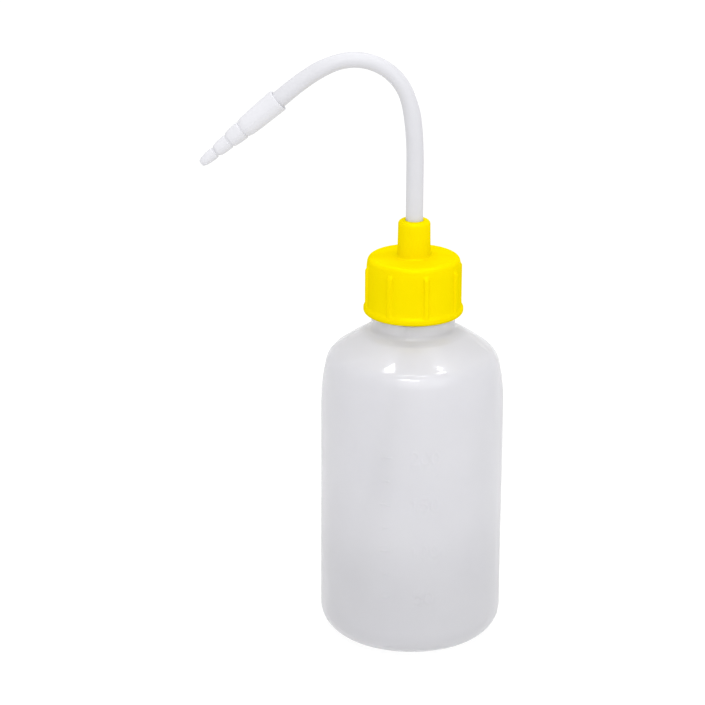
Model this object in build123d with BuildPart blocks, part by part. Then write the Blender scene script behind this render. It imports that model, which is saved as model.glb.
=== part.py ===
from build123d import *

import os
from math import radians, sin, tan

# Wash bottle, 250 ml. Millimetres, +Z up, origin at the centre of the base on the bottle's axis.
# The jet points to -X, and the bottle's front faces -Y.

# Bottle body
BODY_R = 30.5
WALL = 1.2
BASE_CORNER_R = 9.0
DISH_R = 18.0
DISH_RISE = 2.0
WALL_TOP = 81.0
LEAN_R = 66.0
LEAN_TURN = 12.5
SHOULDER_R = 8.2
SHOULDER_SLOPE = 32.0

# Neck, in the 28 mm size
COLLAR_R = 13.9
COLLAR_TOP = 112.2
COLLAR_CHAMFER = 0.5
NECK_R = 12.5
NECK_BORE_R = 10.6
RIM_Z = 128.5
RIM_ROUND = 0.4

# Screw thread, right-hand, on the neck and inside the cap
PITCH = 4.23
THREAD_DEPTH = 1.1
THREAD_ROOT_W = 2.2
THREAD_CREST_W = 1.0
THREAD_BITE = 0.3
NECK_THREAD_Z = 116.8
NECK_THREAD_TURNS = 1.4
CAP_THREAD_DROP = 1.7
CAP_THREAD_TURNS = 1.6

# Screw cap
CAP_BOTTOM = 112.7
CAP_TOP = 132.0
CAP_PLATE = 2.0
CAVITY_R = 14.0
CAVITY_CHAMFER = 0.5
FLANGE_R = 16.55
FLANGE_TOP = 114.2
FLANGE_ROUND = 1.2
SKIRT_FOOT_R = 15.9
SKIRT_FOOT_Z = 116.2
SKIRT_DRAFT = 1.5
CROWN_R = 20.0
CROWN_TURN = 8.0
CAP_EDGE_R = 1.8
RIB_COUNT = 8
RIB_START = 14.0
RIB_R = 16.45
RIB_DEPTH = 1.9
RIB_WIDTH = 2.1
RIB_ROUND = 0.5
RIB_FOOT_Z = 113.5
RIB_HEAD_Z = 129.8

# Boss above the cap's plate, spigot below it, and the passage through both
BOSS_R = 5.5
BOSS_TOP = 144.4
BOSS_DRAFT = 1.0
BOSS_ROUND = 1.4
BOSS_FILLET = 0.5
SPIGOT_R = 4.4
SPIGOT_BOTTOM = 119.5
WEB_BOTTOM = 127.0
WEB_TOP = 129.0
MOUTH_CHAMFER = 0.2

# Sealing washer
LINER_R = 13.4
LINER_HOLE_R = 4.8

# Tubes, all cut from the same stock
TUBE_R = 2.85
TUBE_BORE_R = 1.95
RUNNING_GAP = 0.05
END_GAP = 0.2

# Delivery tube: up out of the boss, over in three tangent arcs (radius, turn), and down to the jet
BEND_START = 164.7
BEND_ARCS = [(100.0, 10.5), (18.4, 107.0), (60.0, 12.75)]
TUBE_SHOWING = 6.5
SOCKET_DEPTH = 11.5

# Dip tube: straight down out of the spigot, then leaning towards the jet's side
DIP_BEND_START = 112.0
DIP_BEND_R = 40.0
DIP_LEAN = 10.5
DIP_FOOT_Z = 5.7

# Jet tip, along its own axis: a sleeve over the tube, then three smaller steps.
# Step: start, end, radius at the start, radius where its rounded shoulder begins, radius at the
# end, length of the shoulder, and radius of the cutting groove that follows it.
TIP_STEPS = [
    (0.0, 14.9, 3.87, 3.55, 3.00, 3.2, 2.77),
    (15.4, 20.8, 3.15, 2.90, 2.40, 1.7, 2.24),
    (21.3, 26.4, 2.50, 2.30, 1.90, 1.3, 1.54),
    (27.1, 32.8, 2.00, 1.80, 1.10, 2.9, 0.0),
]
# The passage narrows at each groove, so a tip cut back there throws a wider jet.
SOCKET_R = TUBE_R + RUNNING_GAP
TIP_PASSAGE = [(13.6, 21.0, 1.2), (21.0, 26.8, 0.8), (26.8, 32.8, 0.55)]


def body_outline(inset, neck_r):
    """Half-section of the body, `inset` inside its skin, up to radius `neck_r` on the shoulder."""
    with BuildLine() as outline:
        dish = ThreePointArc(
            (0, DISH_RISE + inset), (DISH_R / 2, 0.75 * DISH_RISE + inset), (DISH_R, inset)
        )
        ring = Line(dish @ 1, (BODY_R - BASE_CORNER_R, inset))
        corner = JernArc(ring @ 1, (1, 0), BASE_CORNER_R - inset, 90)
        wall = Line(corner @ 1, (BODY_R - inset, WALL_TOP))
        lean = JernArc(wall @ 1, (0, 1), LEAN_R - inset, LEAN_TURN)
        turn = JernArc(lean @ 1, lean % 1, SHOULDER_R - inset, 90 - SHOULDER_SLOPE - LEAN_TURN)
        rise = ((turn @ 1).X - neck_r) * tan(radians(SHOULDER_SLOPE))
        slope = Line(turn @ 1, (neck_r, (turn @ 1).Y + rise))
        top = Line(slope @ 1, (0, (slope @ 1).Y))
        Line(top @ 1, dish @ 0)
    return outline.edges()


def cap_outline():
    """Half-section of the cap's skin: rolled flange, drafted skirt, crown and flat top."""
    crown_lean = SKIRT_DRAFT + CROWN_TURN
    crown_rise = CROWN_R * (sin(radians(crown_lean)) - sin(radians(SKIRT_DRAFT)))
    edge_rise = CAP_EDGE_R * (1 - sin(radians(crown_lean)))
    skirt_head_z = CAP_TOP - crown_rise - edge_rise
    skirt_head_r = SKIRT_FOOT_R - (skirt_head_z - SKIRT_FOOT_Z) * tan(radians(SKIRT_DRAFT))
    blend_z = (FLANGE_TOP + SKIRT_FOOT_Z) / 2
    with BuildLine() as outline:
        foot = Line((0, CAP_BOTTOM), (FLANGE_R - FLANGE_ROUND, CAP_BOTTOM))
        lip = JernArc(foot @ 1, (1, 0), FLANGE_ROUND, 90)
        band = Line(lip @ 1, (FLANGE_R, FLANGE_TOP))
        blend = Bezier(
            band @ 1, (FLANGE_R, blend_z), (SKIRT_FOOT_R, blend_z), (SKIRT_FOOT_R, SKIRT_FOOT_Z)
        )
        skirt = Line(blend @ 1, (skirt_head_r, skirt_head_z))
        crown = JernArc(skirt @ 1, skirt % 1, CROWN_R, CROWN_TURN)
        edge = JernArc(crown @ 1, crown % 1, CAP_EDGE_R, 90 - crown_lean)
        plate = Line(edge @ 1, (0, (edge @ 1).Y))
        Line(plate @ 1, foot @ 0)
    return outline.edges()


def tip_outline():
    """Half-section of the jet tip's skin, along X from the sleeve's mouth."""
    with BuildLine() as outline:
        corner = Vector(0, 0)
        for start, end, start_r, shoulder_r, end_r, shoulder_run, groove_r in TIP_STEPS:
            face = Line(corner, (start, start_r))
            side = Line(face @ 1, (end - shoulder_run, shoulder_r))
            shoulder = TangentArc(side @ 1, (end, end_r), tangent=side % 1)
            drop = Line(shoulder @ 1, (end, groove_r))
            corner = drop @ 1
        Line(corner, (0, 0))
    return outline.edges()


def tip_bore():
    """Half-section of the tip's passage: the tube's socket, a cone, then three narrowing bores."""
    corners = [(0, 0), (0, SOCKET_R), (SOCKET_DEPTH, SOCKET_R)]
    for start, end, radius in TIP_PASSAGE:
        corners += [(start, radius), (end, radius)]
    corners.append((TIP_PASSAGE[-1][1], 0))
    with BuildLine() as outline:
        Polyline(*corners, close=True)
    return outline.edges()


def thread_outline(root, crest):
    """Thread section beside its helix: `root` and `crest` are measured out from the helix line."""
    sunk = root + (THREAD_BITE if root > crest else -THREAD_BITE)
    half_root = THREAD_ROOT_W / 2
    half_crest = THREAD_CREST_W / 2
    with BuildLine() as outline:
        Polyline(
            (sunk, -half_root),
            (root, -half_root),
            (crest, -half_crest),
            (crest, half_crest),
            (root, half_root),
            (sunk, half_root),
            close=True,
        )
    return outline.edges()


def thread_helix(foot_z, turns):
    """Line at the neck's radius that a thread follows, starting at +X."""
    return Helix(PITCH, PITCH * turns, NECK_R, center=(0, 0, foot_z), mode=Mode.PRIVATE)


def helix_start(helix):
    """Plane across the start of a helix, with its local X pointing outwards."""
    return Plane(origin=helix @ 0, x_dir=(1, 0, 0), z_dir=helix % 0)


def tube_section(plane):
    """Ring of the tube stock on a plane."""
    with BuildSketch(plane) as ring:
        Circle(TUBE_R)
        Circle(TUBE_BORE_R, mode=Mode.SUBTRACT)
    return ring.sketch


# Centre line of the delivery tube, drawn flat and then stood up in the XZ plane
with BuildLine() as delivery_flat:
    span = Line((0, WEB_TOP + END_GAP), (0, BEND_START))
    for bend_r, bend_turn in BEND_ARCS:
        span = JernArc(span @ 1, span % 1, bend_r, bend_turn)
    Line(span @ 1, (span @ 1) + (span % 1) * (TUBE_SHOWING + SOCKET_DEPTH - END_GAP))
delivery_path = Plane.XZ.from_local_coords(delivery_flat.line)

# Centre line of the dip tube, from the cap's web down to its foot
with BuildLine() as dip_flat:
    drop = Line((0, WEB_BOTTOM), (0, DIP_BEND_START))
    swing = JernArc(drop @ 1, drop % 1, DIP_BEND_R, -DIP_LEAN)
    dip_run = ((swing @ 1).Y - DIP_FOOT_Z) / -(swing % 1).Y
    Line(swing @ 1, (swing @ 1) + (swing % 1) * dip_run)
dip_path = Plane.XZ.from_local_coords(dip_flat.line)

# The jet leaves along the end of the delivery tube
jet_direction = delivery_path % 1
tip_mouth = (delivery_path @ 1) - jet_direction * (SOCKET_DEPTH - END_GAP)
tip_plane = Plane(origin=tip_mouth, x_dir=jet_direction, z_dir=(0, -1, 0))
tip_axis = Axis(tip_mouth, jet_direction)

os.makedirs("parts", exist_ok=True)

# Bottle: blow-moulded body with a dished base, a collar and a threaded neck
neck_helix = thread_helix(NECK_THREAD_Z, NECK_THREAD_TURNS)
with BuildPart() as bottle:
    with BuildSketch(Plane.XZ):
        make_face(body_outline(0, COLLAR_R))
    revolve(axis=Axis.Z)
    with BuildSketch(Plane.XY.offset(WALL_TOP)):
        Circle(COLLAR_R)
    extrude(amount=COLLAR_TOP - WALL_TOP)
    chamfer(bottle.edges().sort_by(Axis.Z)[-1], COLLAR_CHAMFER)
    with BuildSketch(Plane.XY.offset(WALL_TOP)):
        Circle(NECK_R)
    extrude(amount=RIM_Z - WALL_TOP)
    with BuildSketch(Plane.XZ):
        make_face(body_outline(WALL, NECK_BORE_R))
    revolve(axis=Axis.Z, mode=Mode.SUBTRACT)
    with BuildSketch(Plane.XY.offset(WALL_TOP)):
        Circle(NECK_BORE_R)
    extrude(amount=RIM_Z - WALL_TOP, mode=Mode.SUBTRACT)
    fillet(bottle.faces().sort_by(Axis.Z)[-1].edges(), RIM_ROUND)
    with BuildSketch(helix_start(neck_helix)):
        make_face(thread_outline(0, THREAD_DEPTH))
    sweep(path=neck_helix, is_frenet=True)
bottle.part.label = "bottle"
export_step(bottle.part, "parts/bottle.step")

# Screw cap: ribbed skirt with an internal thread, a boss for the delivery tube and a spigot below
cap_helix = thread_helix(NECK_THREAD_Z - CAP_THREAD_DROP, CAP_THREAD_TURNS)
plate_underside = CAP_TOP - CAP_PLATE
with BuildPart() as screw_cap:
    with BuildSketch(Plane.XZ):
        make_face(cap_outline())
    revolve(axis=Axis.Z)
    with BuildSketch(Plane.XY.offset(CAP_TOP)):
        Circle(BOSS_R)
    extrude(amount=BOSS_TOP - CAP_TOP, taper=BOSS_DRAFT)
    boss_foot = screw_cap.edges().filter_by(GeomType.CIRCLE).filter_by_position(Axis.Z, CAP_TOP, CAP_TOP)
    fillet(boss_foot.sort_by(SortBy.RADIUS)[0], BOSS_FILLET)
    fillet(screw_cap.edges().sort_by(Axis.Z)[-1], BOSS_ROUND)
    with BuildSketch(Plane.XY.offset(RIB_FOOT_Z)):
        with PolarLocations(RIB_R - RIB_DEPTH / 2, RIB_COUNT, start_angle=RIB_START):
            RectangleRounded(RIB_DEPTH, RIB_WIDTH, RIB_ROUND)
    extrude(amount=RIB_HEAD_Z - RIB_FOOT_Z)
    with BuildSketch(Plane.XY.offset(CAP_BOTTOM)):
        Circle(CAVITY_R)
    extrude(amount=plate_underside - CAP_BOTTOM, mode=Mode.SUBTRACT)
    cavity_mouth = screw_cap.faces().sort_by(Axis.Z)[0].edges().sort_by(SortBy.RADIUS)[0]
    chamfer(cavity_mouth, CAVITY_CHAMFER)
    with BuildSketch(Plane.XY.offset(SPIGOT_BOTTOM)):
        Circle(SPIGOT_R)
    extrude(amount=plate_underside - SPIGOT_BOTTOM)
    with BuildSketch(Plane.XY.offset(SPIGOT_BOTTOM)):
        Circle(TUBE_R)
    extrude(amount=WEB_BOTTOM - SPIGOT_BOTTOM, mode=Mode.SUBTRACT)
    with BuildSketch(Plane.XY.offset(WEB_BOTTOM)):
        Circle(TUBE_BORE_R)
    extrude(amount=WEB_TOP - WEB_BOTTOM, mode=Mode.SUBTRACT)
    with BuildSketch(Plane.XY.offset(WEB_TOP)):
        Circle(TUBE_R + RUNNING_GAP)
    extrude(amount=BOSS_TOP - WEB_TOP, mode=Mode.SUBTRACT)
    boss_mouth = screw_cap.faces().sort_by(Axis.Z)[-1].edges().sort_by(SortBy.RADIUS)[0]
    chamfer(boss_mouth, MOUTH_CHAMFER)
    with BuildSketch(helix_start(cap_helix)):
        make_face(thread_outline(CAVITY_R - NECK_R, CAVITY_R - NECK_R - THREAD_DEPTH))
    sweep(path=cap_helix, is_frenet=True)
screw_cap.part.label = "screw_cap"
export_step(screw_cap.part, "parts/screw_cap.step")

# Sealing washer, between the neck's rim and the cap's plate
with BuildPart() as cap_liner:
    with BuildSketch(Plane.XY.offset(RIM_Z)):
        Circle(LINER_R)
        Circle(LINER_HOLE_R, mode=Mode.SUBTRACT)
    extrude(amount=plate_underside - RIM_Z)
cap_liner.part.label = "cap_liner"
export_step(cap_liner.part, "parts/cap_liner.step")

# Delivery tube, free to turn in the boss
with BuildPart() as delivery_tube:
    add(tube_section(Plane.XY.offset(WEB_TOP + END_GAP)))
    sweep(path=delivery_path)
delivery_tube.part.label = "delivery_tube"
export_step(delivery_tube.part, "parts/delivery_tube.step")

# Dip tube, pushed into the spigot
with BuildPart() as dip_tube:
    add(tube_section(Plane.XY.offset(WEB_BOTTOM)))
    sweep(path=dip_path)
dip_tube.part.label = "dip_tube"
export_step(dip_tube.part, "parts/dip_tube.step")

# Jet tip, pushed over the delivery tube's end
with BuildPart() as jet_tip:
    with BuildSketch(tip_plane):
        make_face(tip_outline())
    revolve(axis=tip_axis)
    with BuildSketch(tip_plane):
        make_face(tip_bore())
    revolve(axis=tip_axis, mode=Mode.SUBTRACT)
jet_tip.part.label = "jet_tip"
export_step(jet_tip.part, "parts/jet_tip.step")
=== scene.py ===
from math import acos, ceil, cos, degrees, pi, radians, sin, tan

import bmesh
import bpy
import numpy as np
from mathutils import Matrix, Vector, noise


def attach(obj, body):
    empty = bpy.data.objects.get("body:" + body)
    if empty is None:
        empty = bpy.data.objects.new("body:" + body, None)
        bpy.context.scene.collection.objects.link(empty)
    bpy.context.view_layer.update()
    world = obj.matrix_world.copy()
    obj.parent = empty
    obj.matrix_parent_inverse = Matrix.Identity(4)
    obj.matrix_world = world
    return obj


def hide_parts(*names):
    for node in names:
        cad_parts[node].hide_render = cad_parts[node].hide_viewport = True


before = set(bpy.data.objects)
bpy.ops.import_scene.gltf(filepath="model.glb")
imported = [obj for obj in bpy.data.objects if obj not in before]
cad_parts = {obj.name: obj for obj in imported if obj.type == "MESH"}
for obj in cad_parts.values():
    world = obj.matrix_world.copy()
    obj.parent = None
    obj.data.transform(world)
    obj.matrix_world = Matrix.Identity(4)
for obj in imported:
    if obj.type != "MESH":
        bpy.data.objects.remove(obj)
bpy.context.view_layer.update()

# Lengths are in millimetres up to the point where a mesh is made, and angles in degrees.
MM = 0.001

# Bottle
BODY_R = 30.5
WALL = 1.2
COLLAR_R = 13.9
COLLAR_TOP = 112.2
NECK_R = 12.5
NECK_BORE_R = 10.6
RIM_Z = 128.5
WALL_TOP = 81.0
LEAN_R = 66.0
LEAN_TURN = 12.5
SHOULDER_R = 8.2
SHOULDER_SLOPE = 32.0
SHOULDER_DOME = 0.3
COLLAR_FILLET = 2.2
DISH_RISE = 2.0
DISH_R = 18.0

# Screw thread
PITCH = 4.23
THREAD_DEPTH = 1.1
THREAD_HALF_ROOT = 1.1
THREAD_HALF_CREST = 0.5
NECK_THREAD_Z = 116.8
NECK_THREAD_TURNS = 1.4
CAP_THREAD_Z = 115.1
CAP_THREAD_TURNS = 1.6
THREAD_FADE = 14.0

# Screw cap
CAP_BOTTOM = 112.7
CAP_TOP = 132.0
CAP_UNDERSIDE = 130.0
CAVITY_R = 14.0
RIB_COUNT = 8
FLANGE_R = 16.55
RIB_START = 14.0
RIB_R = 16.43
RIB_HALF = 0.82
RIB_EDGE = 0.6
RIB_HEAD_Z = 129.7
RIB_RUN_OUT = 1.8
RIB_AZIMUTHS = [RIB_START + 360.0 / RIB_COUNT * k for k in range(RIB_COUNT)]
SOCKET_R = 2.9
PASSAGE_R = 1.95
SPIGOT_BORE_R = 2.86
SPIGOT_R = 4.4
SPIGOT_FOOT = 119.5
WEB_TOP = 129.0
WEB_FOOT = 127.0
BOSS_TOP = 144.4
LINER_R = 13.4
LINER_BORE_R = 4.8

# Tubes
TUBE_R = 2.85
TUBE_BORE_R = 1.95
TUBE_FOOT_Z = 129.2
BEND_START = 164.7
TIGHT_BEND_R = 18.4
BEND_ARCS = [(100.0, 10.5), (TIGHT_BEND_R, 107.0), (60.0, 12.75)]
BEND_FLATTEN = 0.105
BEND_WIDEN = 0.05
BEND_SHIFT = 0.3
TUBE_END_RUN = 17.8
TUBE_IN_TIP = 11.3
DIP_HEAD_Z = 127.0
DIP_BEND_START = 112.0
DIP_BEND_R = 40.0
DIP_LEAN = 10.5
DIP_FOOT_Z = 5.7


# ---------------------------------------------------------------- meshes

def rounded(corners, closed=True, step=9.0):
    """Section through (r, z, fillet) corners, with each corner rounded by its fillet."""
    points = []
    count = len(corners)
    for i, (r, z, fillet) in enumerate(corners):
        here = np.array((r, z), float)
        if fillet == 0 or (not closed and i in (0, count - 1)):
            points.append(here)
            continue
        back = np.array(corners[i - 1][:2], float) - here
        on = np.array(corners[(i + 1) % count][:2], float) - here
        back /= np.linalg.norm(back)
        on /= np.linalg.norm(on)
        turn = pi - acos(max(-1.0, min(1.0, float(back @ on))))
        centre = here + (back + on) / np.linalg.norm(back + on) * fillet / cos(turn / 2)
        start = here + back * fillet * tan(turn / 2) - centre
        side = here + on * fillet * tan(turn / 2) - centre
        side -= start * float(start @ side) / float(start @ start)
        side *= np.linalg.norm(start) / np.linalg.norm(side)
        bits = max(2, ceil(degrees(turn) / step))
        for k in range(bits + 1):
            points.append(centre + start * cos(turn * k / bits) + side * sin(turn * k / bits))
    return [tuple(p) for p in points]


def divided(points, longest, closed=True):
    """The section with its long straight runs divided."""
    out = []
    count = len(points)
    for i, p in enumerate(points):
        out.append(p)
        if i == count - 1 and not closed:
            break
        q = points[(i + 1) % count]
        bits = ceil(np.hypot(q[0] - p[0], q[1] - p[1]) / longest)
        out += [
            (p[0] + (q[0] - p[0]) * k / bits, p[1] + (q[1] - p[1]) * k / bits)
            for k in range(1, bits)
        ]
    return out


def with_rows(points, heights, radius):
    """The section with extra rows at these heights on the straight run at this radius."""
    out = []
    for i, p in enumerate(points):
        out.append(p)
        q = points[(i + 1) % len(points)]
        if abs(p[0] - radius) < 1e-6 and abs(q[0] - radius) < 1e-6:
            low, high = sorted((p[1], q[1]))
            found = [h for h in heights if low + 0.02 < h < high - 0.02]
            out += [(radius, h) for h in sorted(found, reverse=bool(q[1] < p[1]))]
    return out


def columns(coarse, bands):
    """Azimuths round a lathe: even ones, and (centre, half-width, step) bands of finer ones."""
    angles = set()
    for k in range(coarse):
        a = 360.0 * k / coarse
        if all(abs((a - c + 180) % 360 - 180) > half + 0.3 * 360 / coarse for c, half, _ in bands):
            angles.add(round(a, 4))
    for c, half, step in bands:
        bits = max(1, round(2 * half / step))
        for k in range(bits + 1):
            angles.add(round((c - half + 2 * half * k / bits) % 360, 4))
    return sorted(angles)


def mesh_piece(name, verts, faces, sharp=38.0, place=None):
    """A smooth-shaded mesh object from points in millimetres."""
    mesh = bpy.data.meshes.new(name)
    mesh.from_pydata((np.asarray(verts, float) * MM).tolist(), [], faces)
    shape = bmesh.new()
    shape.from_mesh(mesh)
    bmesh.ops.remove_doubles(shape, verts=shape.verts, dist=1e-6)
    bmesh.ops.recalc_face_normals(shape, faces=shape.faces)
    shape.to_mesh(mesh)
    shape.free()
    if place is not None:
        mesh.transform(place)
    mesh.polygons.foreach_set("use_smooth", [True] * len(mesh.polygons))
    mesh.set_sharp_from_angle(angle=radians(sharp))
    mesh.update()
    piece = bpy.data.objects.new(name, mesh)
    bpy.context.scene.collection.objects.link(piece)
    return piece


def grid_faces(rows, cols, closed):
    """Quads of a grid whose columns close on themselves, and whose rows may."""
    faces = []
    for i in range(rows if closed else rows - 1):
        a, b = i * cols, ((i + 1) % rows) * cols
        for j in range(cols):
            k = (j + 1) % cols
            faces.append((a + j, b + j, b + k, a + k))
    return faces


def lathe(name, section, azimuths, relief=None, closed=True, place=None, sharp=38.0):
    """Turns a section round the Z axis. relief(az, r, z) gives the new r and z, all as grids."""
    section = np.array(section, float)
    az = np.array(azimuths, float)[None, :] + np.zeros((len(section), 1))
    r = section[:, :1] + np.zeros_like(az)
    z = section[:, 1:] + np.zeros_like(az)
    if relief is not None:
        r, z = relief(az, r, z)
    a = np.radians(az)
    verts = np.stack((r * np.cos(a), r * np.sin(a), z), -1).reshape(-1, 3)
    return mesh_piece(name, verts, grid_faces(*az.shape, closed), sharp, place)


def smooth(x):
    """0 below 0, 1 above 1, and a smooth step between."""
    x = np.clip(x, 0.0, 1.0)
    return x * x * (3 - 2 * x)


def rising(x, start, run):
    """0 up to start, and 1 from a run past it."""
    return smooth((x - start) / run)


def falling(x, end, run):
    """1 up to a run short of end, and 0 from end."""
    return smooth((end - x) / run)


def away(az, centre):
    """Signed degrees from an azimuth."""
    return (az - centre + 180.0) % 360.0 - 180.0


def thread_height(az, z, foot_z, turns):
    """Height of a thread's ridge over its root, with both ends run out."""
    height = np.zeros_like(az)
    for turn in range(ceil(turns) + 1):
        along = az / 360.0 + turn
        gap = np.abs(z - foot_z - PITCH * along)
        rise = (THREAD_HALF_ROOT - gap) / (THREAD_HALF_ROOT - THREAD_HALF_CREST)
        ends = smooth(along * 360 / THREAD_FADE) * smooth((turns - along) * 360 / THREAD_FADE)
        height = np.maximum(height, np.clip(rise, 0, 1) * ends * (along >= 0) * (along <= turns))
    return height * THREAD_DEPTH


def lumps(az, z, size, seed):
    """Slow waves over a surface, from -1 to 1, about `size` apart."""
    out = np.zeros(az.shape)
    a = np.radians(az)
    x, y = BODY_R * np.cos(a) / size, BODY_R * np.sin(a) / size
    for i, j in np.ndindex(az.shape):
        out[i, j] = noise.noise(Vector((x[i, j] + seed, y[i, j], z[i, j] / size)))
    return out


# ---------------------------------------------------------------- materials

def new_material(name):
    """A node material with its Principled shader."""
    material = bpy.data.materials.new(name)
    material.use_nodes = True
    nodes, links = material.node_tree.nodes, material.node_tree.links
    return material, nodes, links, nodes["Principled BSDF"]


def noise_node(nodes, links, scale, detail=2.0, rough=0.5):
    """Noise over the piece's own coordinates, in metres."""
    place = nodes.new("ShaderNodeTexCoord")
    cloud = nodes.new("ShaderNodeTexNoise")
    cloud.inputs["Scale"].default_value = scale
    cloud.inputs["Detail"].default_value = detail
    cloud.inputs["Roughness"].default_value = rough
    links.new(place.outputs["Object"], cloud.inputs["Vector"])
    return cloud.outputs["Fac"]


def ranged(nodes, links, source, low, high):
    """Maps 0.3 to 0.7 of a noise to a range of values."""
    span = nodes.new("ShaderNodeMapRange")
    span.inputs["From Min"].default_value = 0.3
    span.inputs["From Max"].default_value = 0.7
    span.inputs["To Min"].default_value = low
    span.inputs["To Max"].default_value = high
    links.new(source, span.inputs["Value"])
    return span.outputs["Result"]


def blended(nodes, links, source, dark, light):
    """A colour ramp between two colours over a noise."""
    ramp = nodes.new("ShaderNodeValToRGB")
    ramp.color_ramp.elements[0].position = 0.3
    ramp.color_ramp.elements[1].position = 0.7
    ramp.color_ramp.elements[0].color = (*dark, 1)
    ramp.color_ramp.elements[1].color = (*light, 1)
    links.new(source, ramp.inputs["Fac"])
    return ramp.outputs["Color"]


def bumped(nodes, links, shader, heights):
    """Adds bumps to a shader: (source, depth in metres) pairs."""
    normal = None
    for source, depth in heights:
        bump = nodes.new("ShaderNodeBump")
        bump.inputs["Strength"].default_value = 1.0
        bump.inputs["Distance"].default_value = depth
        links.new(source, bump.inputs["Height"])
        if normal is not None:
            links.new(normal, bump.inputs["Normal"])
        normal = bump.outputs["Normal"]
    links.new(normal, shader.inputs["Normal"])


def painted_shade_below(nodes, links, colour, low_z, high_z, share):
    """Painted shade: multiplies a colour by this share below low_z, and by 1 above high_z, in metres."""
    place = nodes.new("ShaderNodeTexCoord")
    split = nodes.new("ShaderNodeSeparateXYZ")
    links.new(place.outputs["Object"], split.inputs["Vector"])
    span = nodes.new("ShaderNodeMapRange")
    span.interpolation_type = "SMOOTHSTEP"
    span.inputs["From Min"].default_value = low_z
    span.inputs["From Max"].default_value = high_z
    span.inputs["To Min"].default_value = share
    span.inputs["To Max"].default_value = 1.0
    links.new(split.outputs["Z"], span.inputs["Value"])
    product = nodes.new("ShaderNodeVectorMath")
    product.operation = "SCALE"
    links.new(colour, product.inputs["Vector"])
    links.new(span.outputs["Result"], product.inputs["Scale"])
    return product.outputs["Vector"]


def polyethylene(name, dark, light, through, rough, coat, grain, gloss=0.2, low_painted_shade=None):
    """Natural low-density polyethylene: milky, letting light through but no clear picture.

    through, coat and gloss are shares, grain the bumps' depth in metres, and the last argument the
    painted shade darkening the colour towards the bottom: the heights it fades between, and its share at
    the bottom.
    """
    material, nodes, links, shader = new_material(name)
    cloud = noise_node(nodes, links, 45.0, 3.0)
    colour = blended(nodes, links, cloud, dark, light)
    # Painted shade, darker towards the bottom.
    if low_painted_shade is not None:
        colour = painted_shade_below(nodes, links, colour, *low_painted_shade)
    links.new(colour, shader.inputs["Base Color"])
    shader.inputs["Transmission Weight"].default_value = through
    links.new(ranged(nodes, links, cloud, rough - 0.05, rough + 0.05), shader.inputs["Roughness"])
    shader.inputs["IOR"].default_value = 1.5
    shader.inputs["Coat Weight"].default_value = coat
    shader.inputs["Specular IOR Level"].default_value = gloss
    shader.inputs["Coat Roughness"].default_value = 0.08
    shader.inputs["Coat IOR"].default_value = 1.8
    bumped(nodes, links, shader, [(noise_node(nodes, links, 900.0, 2.0), grain)])
    return material


def yellow_plastic(name):
    """Opaque yellow polypropylene with a satin gloss.

    The gloss comes from a small metallic share in place of the plain specular, which pales the
    yellow at a flat angle.
    """
    material, nodes, links, shader = new_material(name)
    cloud = noise_node(nodes, links, 60.0, 3.0)
    links.new(
        blended(nodes, links, cloud, (0.765, 0.613, 0.0), (0.795, 0.635, 0.001)),
        shader.inputs["Base Color"],
    )
    links.new(ranged(nodes, links, cloud, 0.32, 0.40), shader.inputs["Roughness"])
    shader.inputs["IOR"].default_value = 1.49
    shader.inputs["Metallic"].default_value = 0.12
    shader.inputs["Specular IOR Level"].default_value = 0.0
    shader.inputs["Specular Tint"].default_value = (1.0, 0.9, 0.15, 1)
    shader.inputs["Subsurface Weight"].default_value = 0.12
    shader.inputs["Subsurface Radius"].default_value = (1.0, 0.7, 0.05)
    shader.inputs["Subsurface Scale"].default_value = 0.0012
    heights = [
        (noise_node(nodes, links, 1400.0, 2.0), 0.000006),
        (noise_node(nodes, links, 160.0, 1.0), 0.00003),
    ]
    bumped(nodes, links, shader, heights)
    return material


def foam_sheet(name):
    """White foamed polyethylene sheet."""
    material, nodes, links, shader = new_material(name)
    cells = noise_node(nodes, links, 2200.0, 3.0, 0.6)
    links.new(
        blended(nodes, links, cells, (0.80, 0.80, 0.77), (0.9, 0.9, 0.88)),
        shader.inputs["Base Color"],
    )
    links.new(ranged(nodes, links, cells, 0.55, 0.75), shader.inputs["Roughness"])
    bumped(nodes, links, shader, [(cells, 0.00004)])
    return material


# Painted shade: the bottle's colour darkens towards the bottom, most below 22 mm and none above 54,
# standing in for the shade low on the body.
bottle_skin = polyethylene(
    "bottle_polyethylene", (0.86, 0.858, 0.892), (0.89, 0.888, 0.917), 0.55, 0.35, 0.35, 0.000008,
    low_painted_shade=(0.022, 0.054, 0.92),
)
# Thin clear walls render as speckle on the white floor, so the tube and tip are near opaque and greyer.
tube_skin = polyethylene(
    "tube_polyethylene", (0.61, 0.61, 0.64), (0.64, 0.64, 0.67), 0.08, 0.38, 0.06, 0.000004,
    gloss=0.1,
)
dip_skin = polyethylene(
    "dip_tube_polyethylene", (0.98, 0.98, 0.985), (0.995, 0.995, 1.0), 0.5, 0.35, 0.06, 0.000004
)
tip_skin = polyethylene(
    "tip_polyethylene", (0.615, 0.615, 0.645), (0.645, 0.645, 0.675), 0.0, 0.45, 0.0, 0.000006,
    gloss=0.06,
)
cap_skin = yellow_plastic("cap_polypropylene")
liner_skin = foam_sheet("liner_foam")


# ---------------------------------------------------------------- bottle

# Volume scale on the front, a line and a number for each 50 ml; SCALE holds (z of the line, number).
SCALE_FOOT_Z = 22.7
SCALE_SPACING = 16.5
SCALE = [(SCALE_FOOT_Z + SCALE_SPACING * k, str(50 * (k + 1))) for k in range(4)]
LINE_HALF_LENGTH = 1.7
HALF_LINE_HALF_LENGTH = 0.8
SCALE_LINE_AZ = -107.0
SCALE_TEXT_AZ = -83.0
SCALE_RELIEF = 0.15
LINE_HALF_WIDTH = 0.26
LINE_FLANK = 0.14
DIGIT_HEIGHT = 4.2
DIGIT_WIDTH = 2.5
DIGIT_STEP = 3.4
SCALE_CENTRE_AZ = -95.0
SCALE_HALF_ANGLE = 24.0

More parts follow.
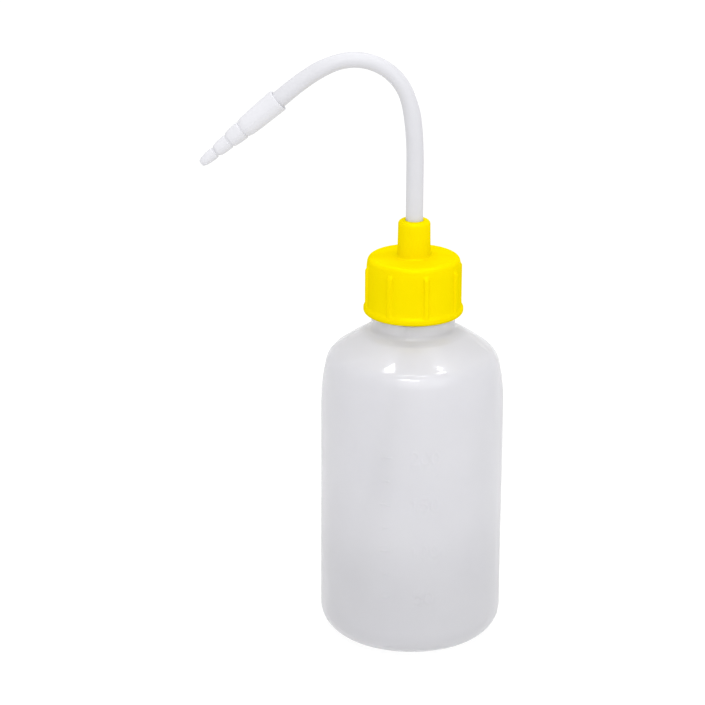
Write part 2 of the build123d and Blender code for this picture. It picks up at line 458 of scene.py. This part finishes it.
PARTING_AZ = 168.0
PARTING_HEIGHT = 0.09
PINCH_DEPTH = 0.35

# Blow-moulding unevenness
WAVE_SIZE = 26.0
WAVE_SEED = 3.0
WAVE_DEPTH = 0.04
PANEL_DEPTH = 0.12
PANEL_HALF_ANGLE = 42.0
DOME_CENTRE_R = 19.6
DOME_HALF_WIDTH = 5.7


def bend_stroke(cx, cy, rx, ry, start, end):
    """Points along an elliptic arc of a digit."""
    return [
        (cx + rx * cos(radians(start + (end - start) * k / 12)),
         cy + ry * sin(radians(start + (end - start) * k / 12)))
        for k in range(13)
    ]


DIGITS = {
    "0": [bend_stroke(0.5, 0.5, 0.5, 0.5, 0, 360)],
    "1": [[(0.2, 0.78), (0.55, 1.0), (0.55, 0.0)]],
    "2": [bend_stroke(0.5, 0.71, 0.46, 0.29, 165, -38) + [(0.02, 0.0), (1.0, 0.0)]],
    "5": [
        [(0.92, 1.0), (0.14, 1.0), (0.08, 0.55)] + bend_stroke(0.46, 0.33, 0.52, 0.33, 118, -150)
    ],
}


def stroke_distance(x, y, strokes):
    """Distance from points to the nearest stroke."""
    best = np.full(x.shape, 1e9)
    for stroke in strokes:
        for (ax, ay), (bx, by) in zip(stroke, stroke[1:]):
            dx, dy = bx - ax, by - ay
            t = np.clip(((x - ax) * dx + (y - ay) * dy) / (dx * dx + dy * dy + 1e-12), 0, 1)
            best = np.minimum(best, np.hypot(x - ax - t * dx, y - ay - t * dy))
    return best


def scale_strokes():
    """The scale's lines and digits on the unrolled wall, as (x along the wall, z) strokes."""
    strokes = []
    to_mm = radians(1.0) * BODY_R
    for i, (z, text) in enumerate(SCALE):
        x = SCALE_LINE_AZ * to_mm
        strokes.append([(x - LINE_HALF_LENGTH, z), (x + LINE_HALF_LENGTH, z)])
        if i:
            half_z = z - SCALE_SPACING / 2
            strokes.append([(x - HALF_LINE_HALF_LENGTH, half_z), (x + HALF_LINE_HALF_LENGTH, half_z)])
        width = DIGIT_STEP * (len(text) - 1) + DIGIT_WIDTH
        left = SCALE_TEXT_AZ * to_mm - width / 2
        for k, letter in enumerate(text):
            for stroke in DIGITS[letter]:
                strokes.append([
                    (left + k * DIGIT_STEP + px * DIGIT_WIDTH, z + (py - 0.5) * DIGIT_HEIGHT)
                    for px, py in stroke
                ])
    return strokes


def bottle_relief(az, r, z):
    """Scale, parting line and thread on the bottle's outer skin, and slow waves in its whole wall."""
    outer = np.zeros(az.shape, bool)
    outer[:OUTER_ROWS] = True
    wall = outer & (z > 9.0) & (z < 92.0) & (r > 28.0)
    wave = lumps(az, z, WAVE_SIZE, WAVE_SEED)
    sides = rising(z, 3.0, 12.0) * falling(z, 106.0, 10.0)
    inward = (WAVE_DEPTH + WAVE_DEPTH * wave) * sides
    from_front = np.abs(away(az, SCALE_CENTRE_AZ))
    panel = PANEL_DEPTH * smooth(1 - from_front / PANEL_HALF_ANGLE) * rising(z, 8.0, 10.0)
    panel *= falling(z, 96.0, 10.0)
    dome = SHOULDER_DOME * np.clip(1 - ((r - DOME_CENTRE_R) / DOME_HALF_WIDTH) ** 2, 0, 1) * (z > 96.0)
    dome *= sides > 0
    z = z + dome * cos(radians(SHOULDER_SLOPE))
    r = r - (inward + panel - dome * sin(radians(SHOULDER_SLOPE))) * (r > 12.0)
    x = away(az, 0.0) * radians(1.0) * BODY_R
    near = wall & (from_front < SCALE_HALF_ANGLE)
    raised = np.zeros_like(r)
    gap = stroke_distance(x[near], z[near], scale_strokes())
    raised[near] = SCALE_RELIEF * falling(gap, LINE_HALF_WIDTH + LINE_FLANK, 2 * LINE_FLANK)
    for side in (PARTING_AZ, PARTING_AZ - 180.0):
        off = np.abs(away(az, side)) * radians(1.0) * np.abs(r)
        line = PARTING_HEIGHT * falling(off, 0.34, 0.3) * outer * (z > 1.2) * (z < 111.0)
        raised = np.maximum(raised, line * (r > 20.0))
    across = np.abs(r * np.sin(np.radians(az - PARTING_AZ)))
    pinch = PINCH_DEPTH * falling(across, 0.75, 0.5) * falling(r, 16.5, 2.0) * outer * (z < 3.0)
    thread = thread_height(az % 360, z, NECK_THREAD_Z, NECK_THREAD_TURNS)
    on_neck = outer & (np.abs(r - NECK_R) < 0.05) & (z > COLLAR_TOP)
    r = r + raised + thread * on_neck
    return r, z - pinch


def bottle_section():
    """Closed section of the bottle: outer skin up to the rim, then the inner skin down."""
    slope = tan(radians(SHOULDER_SLOPE))
    half_lean = radians(LEAN_TURN / 2)
    half_turn = radians((90 - SHOULDER_SLOPE - LEAN_TURN) / 2)
    lean_z = WALL_TOP + LEAN_R * tan(half_lean)
    reach = LEAN_R * tan(half_lean) + SHOULDER_R * tan(half_turn)
    turn_r = BODY_R - reach * sin(2 * half_lean)
    turn_z = lean_z + reach * cos(2 * half_lean)
    foot_z = turn_z + (turn_r - COLLAR_R) * slope
    outer = [
        (0.0, DISH_RISE, 0),
        (DISH_R / 2, DISH_RISE, 80.0),
        (DISH_R, 0.0, 2.5),
        (BODY_R, 0.0, 9.0),
        (BODY_R, lean_z, LEAN_R),
        (turn_r, turn_z, SHOULDER_R),
        (COLLAR_R, foot_z, COLLAR_FILLET),
        (COLLAR_R, COLLAR_TOP, 0.6),
        (NECK_R, COLLAR_TOP, 0.35),
        (NECK_R, RIM_Z, 0.5),
        (NECK_BORE_R, RIM_Z, 0.5),
    ]
    # The inner skin is the outer one moved in by the wall.
    drop = WALL / cos(radians(SHOULDER_SLOPE))
    shift = WALL * tan(half_lean)
    inner_r = BODY_R - WALL
    inner_turn_r = turn_r - WALL * cos(2 * half_lean + half_turn) / cos(half_turn)
    inner_turn_z = turn_z - WALL * sin(2 * half_lean + half_turn) / cos(half_turn)
    inner = [
        (NECK_BORE_R, foot_z - drop + (COLLAR_R - NECK_BORE_R) * slope, 2.0),
        (inner_turn_r, inner_turn_z, SHOULDER_R - WALL),
        (inner_r, lean_z - shift, LEAN_R - WALL),
        (inner_r, WALL, 7.8),
        (DISH_R, WALL, 2.5),
        (DISH_R / 2, DISH_RISE + WALL, 80.0),
        (0.0, DISH_RISE + WALL, 0),
    ]
    return outer, inner


def wall_rows():
    """Heights of the wall's rows, which lie close together across the scale's lines and digits."""
    rows = [9.6 + 2.5 * k for k in range(30)]
    for line_z, _ in SCALE:
        rows += [line_z + 2 * LINE_FLANK * k for k in range(-9, 10)]
        for z in (line_z, line_z - SCALE_SPACING / 2):
            rows += [z + LINE_FLANK * k for k in range(-4, 5)]
    rows = sorted(set(round(z, 3) for z in rows))
    return [z for i, z in enumerate(rows) if i == 0 or z - rows[i - 1] > 0.09]


def finer_cone(outline):
    """The bottle's outline with its shoulder cone and turn divided finely."""
    out = []
    for p, q in zip(outline, outline[1:]):
        on_cone = p[0] > COLLAR_R - 0.5 and p[1] > WALL_TOP + 14
        out += divided([p, q], 0.7, closed=False)[:-1] if on_cone else [p]
    return out + [outline[-1]]


outer_corners, inner_corners = bottle_section()
outline = rounded(outer_corners + inner_corners, closed=False, step=6.0)
outline = with_rows(outline, wall_rows(), BODY_R)
outline = with_rows(outline, [NECK_THREAD_Z - 2.0 + 0.2 * k for k in range(52)], NECK_R)
outline = finer_cone(divided(outline, 6.0, closed=False))
OUTER_ROWS = 1 + max(i for i, p in enumerate(outline) if p[1] > RIM_Z - 1e-6)
bands = [
    (SCALE_CENTRE_AZ, 21.0, 0.5),
    (PARTING_AZ, 0.75, 0.15),
    (PARTING_AZ - 180.0, 0.75, 0.15),
]
bottle = lathe("bottle_wall", outline, columns(144, bands), bottle_relief, closed=False)
bottle.data.materials.append(bottle_skin)
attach(bottle, "bottle_body")
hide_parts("bottle")


# ---------------------------------------------------------------- screw cap

def cap_relief(az, r, z):
    """Ribs on the cap's skirt, and the thread inside."""
    gap = np.min([np.abs(away(az, centre)) for centre in RIB_AZIMUTHS], 0)
    off = np.radians(gap) * RIB_R
    skirt = (r > 15.0) & (z > CAP_BOTTOM + 0.6) & (z < CAP_TOP - 0.5)
    head = falling(z, RIB_HEAD_Z, RIB_RUN_OUT)
    rib = falling(off, RIB_HALF + RIB_EDGE / 2, RIB_EDGE) * head
    proud = np.clip(RIB_R - r, 0, None) * rib * skirt
    inside = (np.abs(r - CAVITY_R) < 0.02) & (z < CAP_UNDERSIDE - 1.0)
    thread = thread_height(az % 360, z, CAP_THREAD_Z, CAP_THREAD_TURNS)
    return r + proud - thread * inside, z


cap_corners = [
    (14.5, CAP_BOTTOM, 0.15),
    (FLANGE_R, CAP_BOTTOM, 1.2),
    (FLANGE_R, 114.7, 1.0),
    (15.9, 115.7, 1.0),
    (15.56, 129.118, 20.0),
    (15.078, CAP_TOP, 1.8),
    (5.5, CAP_TOP, 0.8),
    (5.29, BOSS_TOP, 1.4),
    (SOCKET_R + 0.2, BOSS_TOP, 0.1),
    (SOCKET_R, BOSS_TOP - 0.2, 0.1),
    (SOCKET_R, WEB_TOP, 0),
    (PASSAGE_R, WEB_TOP, 0.1),
    (PASSAGE_R, WEB_FOOT, 0.1),
    (SPIGOT_BORE_R, WEB_FOOT, 0),
    (SPIGOT_BORE_R, SPIGOT_FOOT, 0.15),
    (SPIGOT_R, SPIGOT_FOOT, 0.3),
    (SPIGOT_R, CAP_UNDERSIDE, 0.3),
    (CAVITY_R, CAP_UNDERSIDE, 0.6),
    (CAVITY_R, CAP_BOTTOM + 0.5, 0.2),
]


def rib_head_rows(outline):
    """The cap's outline with extra rows up the tapered skirt, where the ribs run out."""
    rows = [RIB_HEAD_Z - 2.1 + 0.15 * k for k in range(16)]
    out = []
    for i, p in enumerate(outline):
        out.append(p)
        q = outline[(i + 1) % len(outline)]
        if p[0] > 15.0 and q[0] > 15.0 and 116.7 < p[1] < q[1]:
            found = [h for h in rows if p[1] + 0.03 < h < q[1] - 0.03]
            out += [(p[0] + (q[0] - p[0]) * (h - p[1]) / (q[1] - p[1]), h) for h in found]
    return out


outline = divided(rounded(cap_corners, step=8.0), 1.4)
outline = with_rows(outline, [CAP_THREAD_Z - 1.6 + 0.2 * k for k in range(60)], CAVITY_R)
outline = rib_head_rows(outline)
rib_bands = [(centre, 4.6, 0.36) for centre in RIB_AZIMUTHS]
cap = lathe("cap_shell", outline, columns(144, rib_bands), cap_relief, sharp=50.0)
cap.data.materials.append(cap_skin)
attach(cap, "cap_body")
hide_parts("screw_cap")

liner_corners = [
    (LINER_R, RIM_Z, 0.2),
    (LINER_R, CAP_UNDERSIDE, 0.2),
    (LINER_BORE_R, CAP_UNDERSIDE, 0.2),
    (LINER_BORE_R, RIM_Z, 0.2),
]
liner = lathe("cap_washer", divided(rounded(liner_corners, step=30.0), 1.5), columns(96, []))
liner.data.materials.append(liner_skin)
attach(liner, "liner_carrier")
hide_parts("cap_liner")


# ---------------------------------------------------------------- tubes

def centre_line(start, heading, runs, ease=7.0, step=0.25):
    """A tube's centre line in the XZ plane: straight runs and (radius, turn) arcs, eased together.

    Gives points, headings, curvatures and distances along it. It ends where it would without easing.
    """
    lengths, bends = [], []
    for run in runs:
        if isinstance(run, tuple):
            radius, turn = run
            lengths.append(abs(radians(turn)) * radius)
            bends.append(radians(turn) / lengths[-1])
        else:
            lengths.append(run)
            bends.append(0.0)
    total = sum(lengths)
    count = int(round(total / step))
    s = np.linspace(0, total, count + 1)
    marks = np.concatenate(([0.0], np.cumsum(lengths)))
    turned = np.interp(s, marks, np.concatenate(([0.0], np.cumsum(np.array(bends) * lengths))))
    plain = radians(heading) + turned

    def walk(angle):
        mid = (angle[1:] + angle[:-1]) / 2
        ds = total / count
        x = start[0] + np.concatenate(([0.0], np.cumsum(np.cos(mid)) * ds))
        z = start[1] + np.concatenate(([0.0], np.cumsum(np.sin(mid)) * ds))
        return np.stack((x, z), -1)

    half = int(round(ease / 2 / (total / count)))
    padded = np.concatenate((np.full(half, plain[0]), plain, np.full(half, plain[-1])))
    window = np.ones(2 * half + 1) / (2 * half + 1)
    eased = np.convolve(padded, window, mode="valid")
    points, target = walk(eased), walk(plain)[-1]
    drift = target - points[-1]
    points = points + smooth(s / total)[:, None] * drift
    return points, eased, np.gradient(eased, s), s


def tube_piece(name, line, shape, spacing=1.0, around=48, lip=0.18):
    """A tube along a centre line. shape(k) gives, at its k-th point, the two half-widths, in the
    plane of the bend and across it, as shares of the round ones, and the shift to the inside."""
    points, heading, _, s = line
    wanted = np.arange(0, s[-1], spacing)
    picks = [int(np.argmin(np.abs(s - w))) for w in wanted]
    if s[-1] - s[picks[-1]] < spacing * 0.5:
        picks.pop()
    picks.append(len(s) - 1)
    angles = np.linspace(0, 2 * pi, around, endpoint=False)
    rings = []

    def ring(k, radius, back=0.0):
        flat, wide, shift = shape(k)
        h = heading[k]
        tangent = np.array((cos(h), 0.0, sin(h)))
        inside = np.array((-sin(h), 0.0, cos(h)))
        centre = np.array((points[k][0], 0.0, points[k][1])) + inside * shift - tangent * back
        return [
            centre + inside * cos(a) * radius * flat + np.array((0.0, 1.0, 0.0)) * sin(a) * radius * wide
            for a in angles
        ]

    first, last = picks[0], picks[-1]
    rings.append(ring(first, TUBE_R - lip))
    rings.append(ring(first, TUBE_R - lip * 0.3, -lip * 0.3))
    rings.append(ring(first, TUBE_R, -lip))
    rings += [ring(k, TUBE_R) for k in picks[1:-1]]
    rings.append(ring(last, TUBE_R, lip))
    rings.append(ring(last, TUBE_R - lip * 0.3, lip * 0.3))
    rings.append(ring(last, TUBE_R - lip))
    rings.append(ring(last, TUBE_BORE_R + lip * 0.5))
    rings.append(ring(last, TUBE_BORE_R, lip * 0.5))
    rings += [ring(k, TUBE_BORE_R) for k in reversed(picks[1:-1])]
    rings.append(ring(first, TUBE_BORE_R, -lip * 0.5))
    rings.append(ring(first, TUBE_BORE_R + lip * 0.5))
    verts = np.array(rings).reshape(-1, 3)
    return mesh_piece(name, verts, grid_faces(len(rings), around, True), 60.0)


spout_line = centre_line(
    (0.0, TUBE_FOOT_Z), 90.0, [BEND_START - TUBE_FOOT_Z, *BEND_ARCS, TUBE_END_RUN]
)
tightest = 1 / TIGHT_BEND_R


def bent_shape(k):
    """A heat-set bend flattens the tube in the bend's plane and widens it across."""
    share = smooth(np.clip(abs(spout_line[2][k]) / tightest, 0, 1))
    return 1 - BEND_FLATTEN * share, 1 + BEND_WIDEN * share, BEND_SHIFT * share


def round_shape(k):
    """A tube that stays round, on its centre line, at every point."""
    return 1.0, 1.0, 0.0


spout = tube_piece("spout_tube", spout_line, bent_shape)
spout.data.materials.append(tube_skin)
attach(spout, "spout")
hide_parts("delivery_tube")

swing_z = DIP_BEND_START - DIP_BEND_R * sin(radians(DIP_LEAN))
dip_run = (swing_z - DIP_FOOT_Z) / cos(radians(DIP_LEAN))
dip_line = centre_line(
    (0.0, DIP_HEAD_Z),
    -90.0,
    [DIP_HEAD_Z - DIP_BEND_START, (DIP_BEND_R, -DIP_LEAN), dip_run],
)
dip = tube_piece("dip_pipe", dip_line, round_shape, spacing=2.0, around=40)
dip.data.materials.append(dip_skin)
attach(dip, "cap_body")
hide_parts("dip_tube")


# ---------------------------------------------------------------- jet tip

TIP_PARTING_HEIGHT = 0.05

# Up the tip from its mouth: four steps, with a groove above each of the first three. Then the
# outlet and, back down inside, the passage's three widths and the tube's socket.
tip_corners = [
    (2.9, 0.0, 0.25),
    (3.87, 0.0, 0.3),
    (3.62, 9.6, 9.0),
    (3.40, 13.4, 3.0),
    (2.95, 14.9, 0.35),
    (2.77, 15.0, 0.15),
    (2.77, 15.35, 0.15),
    (3.15, 15.4, 0.25),
    (3.0, 18.2, 3.0),
    (2.75, 20.2, 1.0),
    (2.3, 20.85, 0.25),
    (2.24, 21.0, 0.1),
    (2.24, 21.25, 0.1),
    (2.5, 21.3, 0.2),
    (2.38, 24.2, 2.5),
    (2.15, 25.8, 0.8),
    (1.75, 26.4, 0.25),
    (1.54, 26.5, 0.1),
    (1.54, 27.0, 0.1),
    (2.0, 27.1, 0.25),
    (1.88, 29.6, 2.5),
    (1.6, 31.6, 2.0),
    (1.1, 32.8, 0.35),
    (0.55, 32.8, 0.15),
    (0.55, 26.8, 0.1),
    (0.8, 26.8, 0.1),
    (0.8, 21.0, 0.1),
    (1.2, 21.0, 0.1),
    (1.2, 13.6, 0.4),
    (2.9, 11.5, 0.4),
]


def tip_relief(az, r, z):
    """The mould's parting line along two sides of the tip's outer skin."""
    off = np.minimum(np.abs(away(az, 90.0)), np.abs(away(az, -90.0))) * radians(1.0) * r
    outer = np.zeros(az.shape, bool)
    outer[:TIP_OUTER_ROWS] = True
    return r + TIP_PARTING_HEIGHT * falling(off, 0.22, 0.2) * outer * (r > 1.3), z


tip_heading = spout_line[1][-1]
tip_axis = Vector((cos(tip_heading), 0.0, sin(tip_heading)))
tube_end = Vector((spout_line[0][-1][0], 0.0, spout_line[0][-1][1]))
tip_mouth = tube_end - tip_axis * TUBE_IN_TIP
tip_side = Vector((0.0, 1.0, 0.0))
tip_up = tip_side.cross(tip_axis)
tip_turn = Matrix((tip_up, tip_side, tip_axis)).transposed().to_4x4()
tip_place = Matrix.Translation(tip_mouth * MM) @ tip_turn
outline = divided(rounded(tip_corners, step=10.0), 0.9)
TIP_OUTER_ROWS = 1 + max(i for i, p in enumerate(outline) if p[1] > 32.79)
tip_bands = [(90.0, 6.0, 1.0), (-90.0, 6.0, 1.0)]
tip = lathe("jet_nozzle", outline, columns(64, tip_bands), tip_relief, place=tip_place)
tip.data.materials.append(tip_skin)
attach(tip, "jet")
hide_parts("jet_tip")


# ---------------------------------------------------------------- studio

# Lengths here are in metres, but for the camera's lens and sensor, which Blender takes in millimetres.
floor_mesh = bpy.data.meshes.new("floor")
floor_mesh.from_pydata([(-6, -6, 0), (6, -6, 0), (6, 6, 0), (-6, 6, 0)], [], [(0, 1, 2, 3)])
floor = bpy.data.objects.new("floor", floor_mesh)
floor.location.z = -0.00005
bpy.context.scene.collection.objects.link(floor)
floor_paint, _, _, floor_shader = new_material("floor_paint")
floor_shader.inputs["Base Color"].default_value = (0.14, 0.14, 0.14, 1)
floor_shader.inputs["Roughness"].default_value = 0.9
floor_shader.inputs["Specular IOR Level"].default_value = 0.1
floor_shader.inputs["Emission Color"].default_value = (1, 1, 1, 1)
floor_shader.inputs["Emission Strength"].default_value = 0.9
floor_mesh.materials.append(floor_paint)

# The sky is as white as the floor at the horizon, so no line shows between them, and dims above it.
world = bpy.data.worlds.new("studio")
world.use_nodes = True
sky_nodes, sky_links = world.node_tree.nodes, world.node_tree.links
sky = sky_nodes["Background"]
sky.inputs["Color"].default_value = (1, 1, 1, 1)
sky_place = sky_nodes.new("ShaderNodeTexCoord")
sky_split = sky_nodes.new("ShaderNodeSeparateXYZ")
sky_span = sky_nodes.new("ShaderNodeMapRange")
sky_links.new(sky_place.outputs["Generated"], sky_split.inputs["Vector"])
sky_links.new(sky_split.outputs["Z"], sky_span.inputs["Value"])
sky_span.inputs["From Min"].default_value = 0.05
sky_span.inputs["From Max"].default_value = 0.35
sky_span.inputs["To Min"].default_value = 1.0
sky_span.inputs["To Max"].default_value = 0.80
sky_links.new(sky_span.outputs["Result"], sky.inputs["Strength"])
bpy.context.scene.world = world


def soft_light(name, target, azimuth, elevation, distance, size, power):
    """A rectangular soft box aimed at a point; azimuth 0 is the camera's side, positive to the right."""
    data = bpy.data.lights.new(name, "AREA")
    data.shape = "RECTANGLE"
    data.size, data.size_y = size
    data.energy = power
    light = bpy.data.objects.new(name, data)
    a, e = radians(azimuth), radians(elevation)
    away_from = Vector((sin(a) * cos(e), -cos(a) * cos(e), sin(e)))
    light.location = Vector(target) + away_from * distance
    light.rotation_mode = "QUATERNION"
    light.rotation_quaternion = away_from.to_track_quat("Z", "Y")
    bpy.context.scene.collection.objects.link(light)
    return light


# The strips are there for their reflections, the shoulder's highlights, and the boxes for the light.
soft_light("key_box", (0, 0, 0.09), 12, 34, 1.3, (1.6, 1.1), 6.2)
soft_light("strip_low", (0, 0, 0.1), -7, 52, 0.9, (0.36, 0.12), 1.0)
soft_light("back_box", (0, 0, 0.12), 180, 60, 1.3, (1.0, 0.6), 3.2)
soft_light("strip_mid", (0, 0, 0.1), -6, 74, 0.9, (0.46, 0.06), 0.5)
soft_light("strip_left", (-0.29, 0, 0.1), 0, 90, 0.9, (0.13, 0.09), 0.8)
soft_light("strip_right", (0.38, 0, 0.1), 0, 90, 0.9, (0.12, 0.09), 1.1)

CAMERA_DISTANCE = 0.9
CAMERA_TILT = radians(19.1936)
CAMERA_ROLL = 0.0042255  # radians
CAMERA_LENS = 138.24139
CAMERA_AIM = Vector((-0.0200301, 0.0, 0.0982897))
camera_data = bpy.data.cameras.new("camera")
camera_data.sensor_width = 36.0
camera_data.lens = CAMERA_LENS
camera_data.clip_start, camera_data.clip_end = 0.01, 50.0
camera = bpy.data.objects.new("camera", camera_data)
camera_back = Vector((0.0, -cos(CAMERA_TILT), sin(CAMERA_TILT)))
camera_up = Vector((0.0, sin(CAMERA_TILT), cos(CAMERA_TILT)))
camera_turn = Matrix((Vector((1, 0, 0)), camera_up, camera_back)).transposed().to_4x4()
camera.matrix_world = (
    Matrix.Translation(CAMERA_AIM + camera_back * CAMERA_DISTANCE)
    @ camera_turn
    @ Matrix.Rotation(CAMERA_ROLL, 4, "Z")
)
bpy.context.scene.collection.objects.link(camera)
bpy.context.scene.camera = camera
bpy.context.scene.view_settings.view_transform = "Standard"
